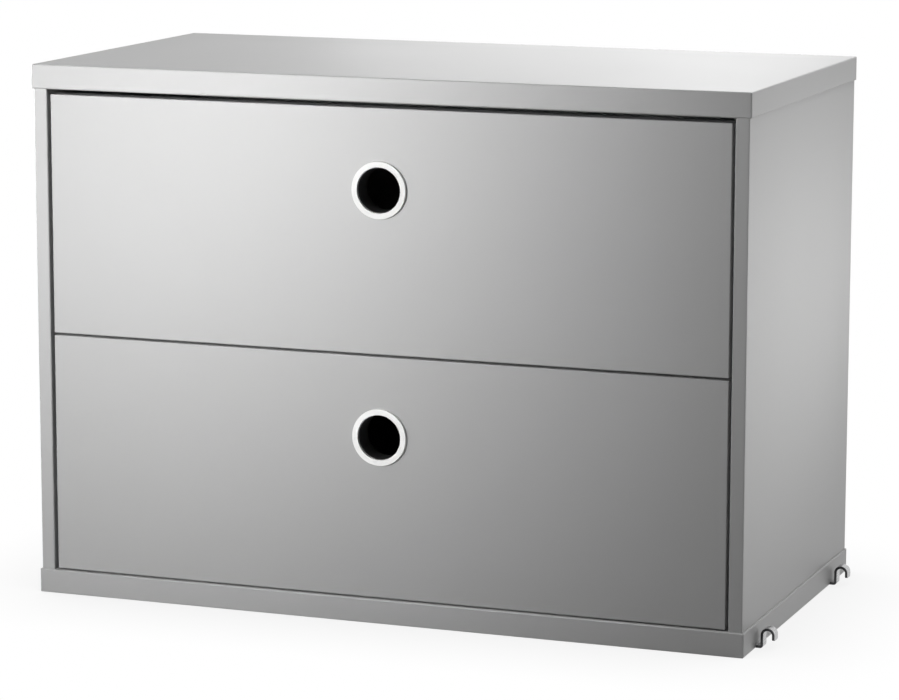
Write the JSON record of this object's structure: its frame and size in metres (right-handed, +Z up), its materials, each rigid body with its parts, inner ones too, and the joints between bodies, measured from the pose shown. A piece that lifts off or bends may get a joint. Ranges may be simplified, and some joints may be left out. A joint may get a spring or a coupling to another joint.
{
  "type": "hanging chest of drawers",
  "caption": "Low grey lacquered chest of drawers with ringed finger holes, telescopic ball-bearing runners and side hooks that hang it over the rungs of a ladder frame.",
  "frame": {"origin": "middle of the underside of the bottom panel", "axes": "+X to the right along the width, +Y from the drawer fronts to the back, +Z up"},
  "size_m": [0.6084, 0.3, 0.42],
  "materials": {
    "grey_lacquer": "satin lacquer on board",
    "box_laminate": "matt grey laminate on board",
    "beech_dowel": "plain beech",
    "hook_steel": "bright zinc plate",
    "rail_steel": "bright zinc plate",
    "cage_steel": "plain sheet steel",
    "ball_steel": "polished bearing steel",
    "screw_zinc": "zinc plate",
    "ring_white": "moulded, satin gloss",
    "sleeve_black": "moulded, matt"
  },
  "bodies": {
    "carcass": {"top_panel": "grey_lacquer", "bottom_panel": "grey_lacquer", "left_side_panel": "grey_lacquer", "right_side_panel": "grey_lacquer", "back_panel": "grey_lacquer", "carcass_dowels": "beech_dowel", "left_front_hook": "hook_steel", "left_rear_hook": "hook_steel", "right_front_hook": "hook_steel", "right_rear_hook": "hook_steel", "hook_screws": "screw_zinc", "outer_rail_screws": "screw_zinc", "lower_left_outer_rail": "rail_steel", "lower_right_outer_rail": "rail_steel", "upper_left_outer_rail": "rail_steel", "upper_right_outer_rail": "rail_steel"},
    "lower_drawer": {"lower_drawer_front": "grey_lacquer", "lower_drawer_back": "box_laminate", "lower_drawer_floor": "box_laminate", "lower_left_drawer_side": "box_laminate", "lower_right_drawer_side": "box_laminate", "lower_drawer_dowels": "beech_dowel", "lower_pull_ring": "ring_white", "lower_pull_sleeve": "sleeve_black", "lower_left_inner_rail": "rail_steel", "lower_right_inner_rail": "rail_steel", "lower_inner_rail_screws": "screw_zinc"},
    "lower_middle_rails": {"lower_left_middle_rail": "rail_steel", "lower_right_middle_rail": "rail_steel"},
    "lower_outer_cages": {"lower_left_outer_cage": "cage_steel", "lower_right_outer_cage": "cage_steel", "lower_outer_balls": "ball_steel"},
    "lower_inner_cages": {"lower_left_inner_cage": "cage_steel", "lower_right_inner_cage": "cage_steel", "lower_inner_balls": "ball_steel"},
    "upper_drawer": {"upper_drawer_front": "grey_lacquer", "upper_drawer_back": "box_laminate", "upper_drawer_floor": "box_laminate", "upper_left_drawer_side": "box_laminate", "upper_right_drawer_side": "box_laminate", "upper_drawer_dowels": "beech_dowel", "upper_pull_ring": "ring_white", "upper_pull_sleeve": "sleeve_black", "upper_left_inner_rail": "rail_steel", "upper_right_inner_rail": "rail_steel", "upper_inner_rail_screws": "screw_zinc"},
    "upper_middle_rails": {"upper_left_middle_rail": "rail_steel", "upper_right_middle_rail": "rail_steel"},
    "upper_outer_cages": {"upper_left_outer_cage": "cage_steel", "upper_right_outer_cage": "cage_steel", "upper_outer_balls": "ball_steel"},
    "upper_inner_cages": {"upper_left_inner_cage": "cage_steel", "upper_right_inner_cage": "cage_steel", "upper_inner_balls": "ball_steel"}
  },
  "joints": [
    {"name": "lower_drawer_slide", "type": "slide", "parent": "carcass", "child": "lower_drawer", "axis": [0, -1, 0], "range_m": [0, 0.24]},
    {"name": "lower_middle_rails_slide", "type": "slide", "parent": "carcass", "child": "lower_middle_rails", "axis": [0, -1, 0], "range_m": [0, 0.12]},
    {"name": "lower_outer_cages_slide", "type": "slide", "parent": "carcass", "child": "lower_outer_cages", "axis": [0, -1, 0], "range_m": [0, 0.06]},
    {"name": "lower_inner_cages_slide", "type": "slide", "parent": "carcass", "child": "lower_inner_cages", "axis": [0, -1, 0], "range_m": [0, 0.18]},
    {"name": "upper_drawer_slide", "type": "slide", "parent": "carcass", "child": "upper_drawer", "axis": [0, -1, 0], "range_m": [0, 0.24]},
    {"name": "upper_middle_rails_slide", "type": "slide", "parent": "carcass", "child": "upper_middle_rails", "axis": [0, -1, 0], "range_m": [0, 0.12]},
    {"name": "upper_outer_cages_slide", "type": "slide", "parent": "carcass", "child": "upper_outer_cages", "axis": [0, -1, 0], "range_m": [0, 0.06]},
    {"name": "upper_inner_cages_slide", "type": "slide", "parent": "carcass", "child": "upper_inner_cages", "axis": [0, -1, 0], "range_m": [0, 0.18]}
  ],
  "couplings": [
    {"joint": "lower_middle_rails_slide", "follows": "lower_drawer_slide", "ratio": 0.5},
    {"joint": "lower_outer_cages_slide", "follows": "lower_drawer_slide", "ratio": 0.25},
    {"joint": "lower_inner_cages_slide", "follows": "lower_drawer_slide", "ratio": 0.75},
    {"joint": "upper_middle_rails_slide", "follows": "upper_drawer_slide", "ratio": 0.5},
    {"joint": "upper_outer_cages_slide", "follows": "upper_drawer_slide", "ratio": 0.25},
    {"joint": "upper_inner_cages_slide", "follows": "upper_drawer_slide", "ratio": 0.75}
  ]
}
